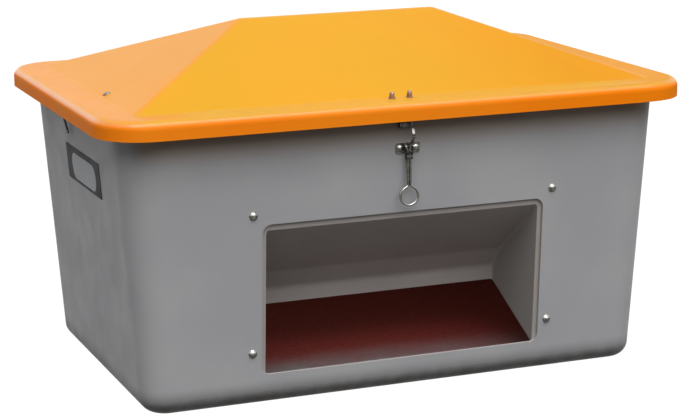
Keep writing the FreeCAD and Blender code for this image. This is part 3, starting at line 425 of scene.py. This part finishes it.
def lid_polish(tree, at, facing, parts):
    """Specular level over the lid."""
    # Chalky slopes and margins give back little, least of all towards the right
    slopes = add(tree, "MapRange", SMOOTH, [parts["right_slope"], 0.0, 1.0, SLOPE_POLISH, 0.0])
    margins = add(tree, "MapRange", SMOOTH, [
        parts["left_margin"], 0.0, 1.0, MARGIN_POLISH, LEFT_MARGIN_POLISH])
    chalk = add(tree, "Math", PLUS, [slopes, margins])
    for part, keeps in (("right_margin", RIGHT_MARGIN_KEEPS), ("right_end", RIGHT_END_KEEPS)):
        kept = add(tree, "MapRange", SMOOTH, [parts[part], 0.0, 1.0, 1.0, keeps])
        chalk = add(tree, "Math", TIMES, [chalk, kept])

    # The rolled edge keeps its polish, most of all at the left end
    rolled = add(tree, "Math", TIMES, [parts["rolled"], ROLLED_POLISH])
    left_edge = add(tree, "Math", TIMES, [parts["left_edge"], LEFT_EDGE_POLISH])

    # The lip, where the margin starts to roll over, catches the light along the front
    below_margin = add(tree, "MapRange", SMOOTH, [(at, "Z"), *LIP_Z])
    off_edge = add(tree, "MapRange", SMOOTH, [(facing, "Z"), *LIP_FROM])
    lip = add(tree, "Math", TIMES, [below_margin, off_edge])
    off_left = add(tree, "MapRange", SMOOTH, [parts["left_edge"], 1.0, 0.0, 0.0, LIP_POLISH])
    lip = add(tree, "Math", TIMES, [lip, off_left])

    most = add(tree, "Math", PLUS, [chalk, rolled])
    edges = add(tree, "Math", PLUS, [left_edge, lip])
    return add(tree, "Math", PLUS, [most, edges])


def orange_gelcoat():
    """Orange polyester gelcoat off a polished mould, weathered: sun-faded to a yellower orange and gone
    chalky where it faces up, and still deep and glossy where the edge rolls over."""
    material, tree = new_material("gelcoat_orange_moulded")
    coords = add(tree, "TexCoord", {}, {})
    place = (coords, "Object")
    at = add(tree, "SeparateXYZ", {}, [place])
    facing = add(tree, "SeparateXYZ", {}, [(coords, "Normal")])
    inside = laminated_side(tree, coords, LID_MIDDLE)
    parts = lid_parts(tree, at, facing)

    outer = faded_orange(tree, place, facing, parts)
    strands = glass_strands(tree, place)
    glassy = add(tree, "Math", TIMES, [strands, STRANDS_SHOW])
    laminate = add(tree, "Mix", BLEND, [glassy, ORANGE_INSIDE, ORANGE_STRAND])
    colour = add(tree, "Mix", BLEND, [inside, outer, laminate])

    peel = add(tree, "TexNoise", {}, {"Vector": place, "Scale": 1 / ORANGE_PEEL_SIZE, "Detail": 0.0})
    peel = add(tree, "Math", TIMES, [peel, ORANGE_PEEL_SHARE])
    relief = add(tree, "Mix", BLEND_VALUES, [inside, peel, strands])
    wear = add(tree, "TexNoise", {}, {"Vector": place, "Scale": 1 / ORANGE_GLOSS_SIZE, "Detail": 3.0})
    gloss = add(tree, "MapRange", SMOOTH, [wear, *PATCHES, 0.0, ORANGE_GLOSS_SHARE])
    dull = add(tree, "MapRange", SMOOTH, [(facing, "Z"), *DULL_FROM, *LID_ROUGH])
    roughness = add(tree, "Math", PLUS, [gloss, dull])
    finish_surface(tree, colour, roughness, relief, ORANGE_RELIEF, {
        "IOR": GELCOAT_IOR,
        "Specular IOR Level": lid_polish(tree, at, facing, parts),
        "Coat Weight": add(tree, "Math", TIMES, [parts["left_edge"], LEFT_EDGE_COAT]),
        "Coat Roughness": COAT_ROUGH,
    })
    return material


def film_faced_board():
    """Birch plywood under a dark phenolic film: smooth faces with a dull sheen, and edges that show
    the bare plies."""
    material, tree = new_material("phenolic_film_plywood")
    coords = add(tree, "TexCoord", {}, {})
    place = (coords, "Object")
    at = add(tree, "SeparateXYZ", {}, [place])
    facing = add(tree, "SeparateXYZ", {}, [(coords, "Normal")])
    scrapes = add(tree, "TexNoise", {}, {
        "Vector": place, "Scale": 1 / SCUFF_SIZE, "Detail": 6.0, "Distortion": SCUFF_TWIST})
    scuffs = add(tree, "MapRange", SMOOTH, [scrapes, *SCUFFS_FROM])
    film = add(tree, "Mix", BLEND, [scuffs, BOARD_FILM, BOARD_FILM_WORN])

    # Salt dust and painted light lie at the mouth and thin out towards the back and the right
    at_mouth = add(tree, "MapRange", SMOOTH, [(at, "Y"), *DUST_AND_LIGHT_Y])
    thinner = add(tree, "MapRange", SMOOTH, [(at, "X"), *DUST_AND_LIGHT_X, *DUST_AND_LIGHT_RIGHT_SHARE])
    mouth_patches = add(tree, "TexNoise", {}, {
        "Vector": place, "Scale": 1 / DUST_AND_LIGHT_PATCH_SIZE, "Detail": 3.0, "Distortion": DUST_AND_LIGHT_PATCH_TWIST})
    patchy = add(tree, "MapRange", SMOOTH, [mouth_patches, *DUST_AND_LIGHT_PATCH_EDGE, *DUST_AND_LIGHT_PATCH_SHARE])
    dust_and_light = add(tree, "Math", TIMES, [at_mouth, thinner])
    dust_and_light = add(tree, "Math", TIMES, [dust_and_light, patchy])
    film = add(tree, "Mix", BLEND, [dust_and_light, film, SALT_DUST_AND_LIGHT])

    # Plies light and dark in turn: one wave is two plies
    ply = add(tree, "TexWave", {"bands_direction": "Z", "wave_profile": "SIN"}, {
        "Vector": place, "Scale": WAVE_TURNS / (2 * PLY_THICK), "Distortion": PLY_WAVER})
    plies = add(tree, "Mix", BLEND, [(ply, "Fac"), PLY_LIGHT, PLY_DARK])
    level = add(tree, "Math", {"operation": "ABSOLUTE"}, [(facing, "Z")])
    face = add(tree, "MapRange", SMOOTH, [level, *FILM_FACE_FROM])
    colour = add(tree, "Mix", BLEND, [face, plies, film])

    wear = add(tree, "TexNoise", {}, {"Vector": place, "Scale": 1 / BOARD_GLOSS_SIZE, "Detail": 4.0})
    roughness = add(tree, "MapRange", SMOOTH, [wear, *PATCHES, *BOARD_ROUGH])
    grain = add(tree, "TexNoise", {}, {"Vector": place, "Scale": 1 / BOARD_GRAIN_SIZE, "Detail": 2.0})
    finish_surface(tree, colour, roughness, grain, BOARD_RELIEF, {"IOR": FILM_IOR})
    return material


def stainless(name, grain, rough, shade_tone, bright_from, painted_glint=None):
    """Stainless steel: bright where it faces up, painted darker as shade and dark reflection where it
    turns away, with fine grain lines. The real grain is about 0.1 mm and is drawn as coarse as given,
    so that it shows. A range of heights may be given for a painted glint, where less of the dark stays."""
    material, tree = new_material(name)
    coords = add(tree, "TexCoord", {}, {})
    place = (coords, "Object")
    facing = add(tree, "SeparateXYZ", {}, [(coords, "Normal")])
    # Faces that turn away from up are painted darker, as shade and dark reflection, in spots
    under = add(tree, "MapRange", SMOOTH, [(facing, "Z"), bright_from, bright_from - SHADE_FALL])
    spots = add(tree, "TexNoise", {}, {"Vector": place, "Scale": 1 / SHADE_SPOT_SIZE, "Detail": 3.0})
    spotty = add(tree, "MapRange", SMOOTH, [spots, *SHADE_SPOT_EDGE, *SHADE_SPOT_SHARE])
    painted_dark = add(tree, "Math", TIMES, [under, spotty])
    # A painted glint: in the band of heights less of the painted dark stays
    if painted_glint:
        at = add(tree, "SeparateXYZ", {}, [place])
        low, high = painted_glint
        above = add(tree, "MapRange", SMOOTH, [(at, "Z"), low - GLINT_EDGE, low + GLINT_EDGE])
        below = add(tree, "MapRange", SMOOTH, [(at, "Z"), high + GLINT_EDGE, high - GLINT_EDGE])
        band = add(tree, "Math", TIMES, [above, below])
        dark_left = add(tree, "MapRange", SMOOTH, [band, 0.0, 1.0, 1.0, GLINT_KEEPS_DARK])
        painted_dark = add(tree, "Math", TIMES, [painted_dark, dark_left])
    colour = add(tree, "Mix", BLEND, [painted_dark, STEEL_BRIGHT, shade_tone])
    lines = add(tree, "Mapping", {}, {"Vector": place, "Scale": tuple(1 / size for size in grain)})
    brushed = add(tree, "TexNoise", {}, {"Vector": lines, "Scale": 1.0, "Detail": 3.0})
    roughness = add(tree, "MapRange", SMOOTH, [brushed, *PATCHES, *rough])
    finish_surface(tree, colour, roughness, brushed, STEEL_RELIEF, {"Metallic": 1.0})
    return material


def label_film():
    """Printed film on the wall, left bare: a dull dark field with a paler rounded panel."""
    material, tree = new_material("printed_film_bare")
    coords = add(tree, "TexCoord", {}, {})
    place = (coords, "Object")
    at = add(tree, "SeparateXYZ", {}, [place])
    low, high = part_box("label_plate")
    # Rounded panel: distance to a box drawn in by its corner radius
    squares = []
    for axis, start, end in (
        ("Y", low.y + PANEL_FROM_FRONT, high.y - PANEL_FROM_REAR),
        ("Z", low.z + PANEL_FROM_LOW, high.z - PANEL_FROM_HIGH),
    ):
        away = add(tree, "Math", MINUS, [(at, axis), (start + end) / 2])
        size = add(tree, "Math", {"operation": "ABSOLUTE"}, [away])
        past = add(tree, "Math", MINUS, [size, (end - start) / 2 - PANEL_CORNER])
        kept = add(tree, "Math", {"operation": "MAXIMUM"}, [past, 0.0])
        squares.append(add(tree, "Math", TIMES, [kept, kept]))
    total = add(tree, "Math", {"operation": "ADD"}, squares)
    distance = add(tree, "Math", {"operation": "SQRT"}, [total])
    panel = add(tree, "MapRange", SMOOTH, [
        distance, PANEL_CORNER + PANEL_BLUR, PANEL_CORNER - PANEL_BLUR])
    colour = add(tree, "Mix", BLEND, [panel, LABEL_DARK, LABEL_PALE])
    wear = add(tree, "TexNoise", {}, {"Vector": place, "Scale": 1 / LABEL_GLOSS_SIZE, "Detail": 3.0})
    roughness = add(tree, "MapRange", SMOOTH, [wear, *PATCHES, *LABEL_ROUGH])
    grain = add(tree, "TexNoise", {}, {"Vector": place, "Scale": 1 / LABEL_GRAIN_SIZE, "Detail": 1.0})
    finish_surface(tree, colour, roughness, grain, LABEL_RELIEF, {
        "IOR": LABEL_IOR, "Specular IOR Level": LABEL_POLISH})
    return material


def dress(material, names):
    """Gives CAD nodes a material."""
    for name in names:
        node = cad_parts[name]
        node.data.materials.clear()
        node.data.materials.append(material)


def dress_mouldings():
    """Finishes of the tub, the hood, the lid, the board and the label."""
    dress(grey_gelcoat("gelcoat_grey_moulded", GREY_GEL, GREY_GEL_CLOUD), ["tub_body"])
    dress(grey_gelcoat("gelcoat_grey_warm_moulded", HOOD_GEL, HOOD_GEL_CLOUD), ["chute_hood"])
    dress(orange_gelcoat(), ["lid_shell"])
    dress(film_faced_board(), ["floor_board"])
    dress(label_film(), ["label_plate"])


def dress_hardware():
    """Finishes of the latch, the hinges, the hooks and the fasteners."""
    fasteners = [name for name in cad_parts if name.endswith(("bolts", "nuts", "washers"))]
    # Each steel is painted darker, as shade and dark reflection, where it turns away from up
    headed = stainless("stainless_cold_headed", HEADED_GRAIN, HEADED_ROUGH, STEEL_SHADE, BRIGHT_SLOPES_FROM)
    dress(headed, fasteners + ["tether_washer", "hinge_pin_left", "hinge_pin_right"])

    # On top of the lid the fasteners are bright where they face straight up; their sides have a faint
    # tea stain and a painted reflection of the orange lid
    clean = stainless("stainless_cold_headed_clean", HEADED_GRAIN, HEADED_CLEAN_ROUGH,
                      STEEL_STAIN_AND_LID_REFLECTION, BRIGHT_TOPS_ONLY)
    dress(clean, ["keeper_cap_nuts", "keeper_washers", "hinge_lid_cap_nuts", "hinge_lid_washers",
                  "tether_bolt"])

    drawn = stainless("stainless_drawn_wire", WIRE_GRAIN, WIRE_ROUGH, STEEL_SHADE, BRIGHT_SLOPES_FROM)
    dress(drawn, ["latch_pull_wire", "tether_eye_nut"])
    pressed = stainless("stainless_pressed_sheet", SHEET_GRAIN, SHEET_ROUGH, STEEL_SHADE, BRIGHT_SLOPES_FROM)
    dress(pressed, ["latch_base_plate", "hinge_body_leaf_left", "hinge_body_leaf_right",
                    "hinge_lid_leaf_left", "hinge_lid_leaf_right"])

    # Under the rim the parts are painted in deep shade and dark reflection on every side but straight
    # up, and the latch hook has a painted glint across its waist
    deep_shaded = stainless("stainless_pressed_sheet_grimy", SHEET_GRAIN, SHEET_SHADED_PARTS_ROUGH,
                      STEEL_DEEP_SHADE, BRIGHT_TOPS_ONLY)
    dress(deep_shaded, ["keeper_bracket", "wall_hook", "latch_yoke", "latch_pivot_pin", "latch_hook_pin"])
    painted_glint = stainless("stainless_pressed_sheet_rubbed", SHEET_GRAIN, SHEET_SHADED_PARTS_ROUGH,
                       STEEL_DEEP_SHADE, BRIGHT_TOPS_ONLY, HOOK_GLINT_Z)
    dress(painted_glint, ["latch_hook"])


def studio_floor():
    """Plain pale floor. It looks white to the eye and in reflections, keeps a soft shadow,
    and throws back less light than it seems to."""
    mesh = bpy.data.meshes.new("studio_floor")
    corners = []
    for x, y in ((-1, -1), (1, -1), (1, 1), (-1, 1)):
        corners.append((x * FLOOR_REACH, y * FLOOR_REACH, -FLOOR_UNDER_BIN))
    mesh.from_pydata(corners, [], [(0, 1, 2, 3)])
    floor = bpy.data.objects.new("studio_floor", mesh)
    bpy.context.scene.collection.objects.link(floor)

    material, tree = new_material("floor_paint")
    path = add(tree, "LightPath", {}, {})
    # 1 for the eye, in gloss and through glass, and 0 for soft light
    seen = add(tree, "Math", PLUS, [(path, "Is Camera Ray"), (path, "Is Glossy Ray")])
    seen = add(tree, "Math", PLUS, [seen, (path, "Is Transmission Ray")])
    tone = add(tree, "Mix", BLEND, [seen, FLOOR_BOUNCE, FLOOR_PAINT])
    paint = add(tree, "BsdfDiffuse", {}, {"Color": tone})
    glow = add(tree, "Emission", {}, {"Color": WHITE, "Strength": FLOOR_GLOW})
    share = add(tree, "Math", TIMES, [seen, FLOOR_GLOW_SHARE])
    both = add(tree, "MixShader", {}, [share, paint, glow])
    add(tree, "OutputMaterial", {}, {"Surface": both})
    mesh.materials.append(material)


def studio_sky():
    """World: a faint soft light, a white sky for the eye, and a graded one in gloss."""
    world = bpy.data.worlds.new("studio_sky")
    bpy.context.scene.world = world
    world.use_nodes = True
    tree = world.node_tree
    tree.nodes.clear()
    path = add(tree, "LightPath", {}, {})
    coords = add(tree, "TexCoord", {}, {})
    direction = add(tree, "SeparateXYZ", {}, [(coords, "Generated")])
    overhead = add(tree, "MapRange", SMOOTH, [(direction, "Z"), *OVERHEAD_FROM, 1.0, OVERHEAD_WHITE])
    soft = add(tree, "Background", {}, [SKY_TINT, SKY_STRENGTH])
    gloss = add(tree, "Background", {}, [WHITE, overhead])
    white = add(tree, "Background", {}, [WHITE, 1.0])
    shiny = add(tree, "Math", PLUS, [(path, "Is Glossy Ray"), (path, "Is Transmission Ray")])
    lit = add(tree, "MixShader", {}, [shiny, soft, gloss])
    shown = add(tree, "MixShader", {}, [(path, "Is Camera Ray"), lit, white])
    add(tree, "OutputWorld", {}, {"Surface": shown})


def studio_lamps():
    """The broad lamps round the bin, and the soft one under its lid."""
    for name, azimuth, elevation, strength in LAMPS:
        lamp = bpy.data.lights.new(name, "SUN")
        lamp.energy = math.pi * strength
        lamp.angle = math.radians(LAMP_WIDTH)
        holder = bpy.data.objects.new(name, lamp)
        round_z = math.radians(azimuth)
        up = math.radians(elevation)
        towards = Vector((
            math.cos(round_z) * math.cos(up),
            math.sin(round_z) * math.cos(up),
            math.sin(up),
        ))
        holder.rotation_mode = "QUATERNION"
        holder.rotation_quaternion = towards.to_track_quat("Z", "Y")
        holder.visible_glossy = name == MAIN_LAMP
        bpy.context.scene.collection.objects.link(holder)

    lamp = bpy.data.lights.new("inside_lamp", "AREA")
    lamp.shape = "RECTANGLE"
    lamp.size, lamp.size_y = INSIDE_LAMP_SIZE
    lamp.energy = INSIDE_LAMP_POWER
    lamp.color = linear(INSIDE_LAMP_TINT)[:3]
    holder = bpy.data.objects.new("inside_lamp", lamp)
    holder.location = INSIDE_LAMP_AT
    holder.visible_camera = False
    holder.visible_glossy = False
    bpy.context.scene.collection.objects.link(holder)


def photo_camera():
    """Camera with the photograph's place, turn and lens."""
    forward = Vector((
        math.sin(CAMERA_YAW) * math.cos(CAMERA_PITCH),
        math.cos(CAMERA_YAW) * math.cos(CAMERA_PITCH),
        -math.sin(CAMERA_PITCH),
    ))
    right = Vector((math.cos(CAMERA_YAW), -math.sin(CAMERA_YAW), 0))
    up = right.cross(forward)
    rolled_right = math.cos(CAMERA_ROLL) * right + math.sin(CAMERA_ROLL) * up
    rolled_up = -math.sin(CAMERA_ROLL) * right + math.cos(CAMERA_ROLL) * up
    data = bpy.data.cameras.new("photo_camera")
    data.sensor_fit = "HORIZONTAL"
    data.sensor_width = SENSOR
    data.lens = FOCAL_PX * SENSOR / PHOTO_W
    data.clip_end = CAMERA_REACH
    camera = bpy.data.objects.new("photo_camera", data)
    turn = Matrix((rolled_right, rolled_up, -forward)).transposed()
    camera.matrix_world = Matrix.Translation(CAMERA_AT) @ turn.to_4x4()
    bpy.context.scene.collection.objects.link(camera)
    bpy.context.scene.camera = camera


def main():
    bpy.context.scene.view_settings.view_transform = "Standard"
    dress_mouldings()
    dress_hardware()
    studio_floor()
    studio_sky()
    studio_lamps()
    photo_camera()


main()
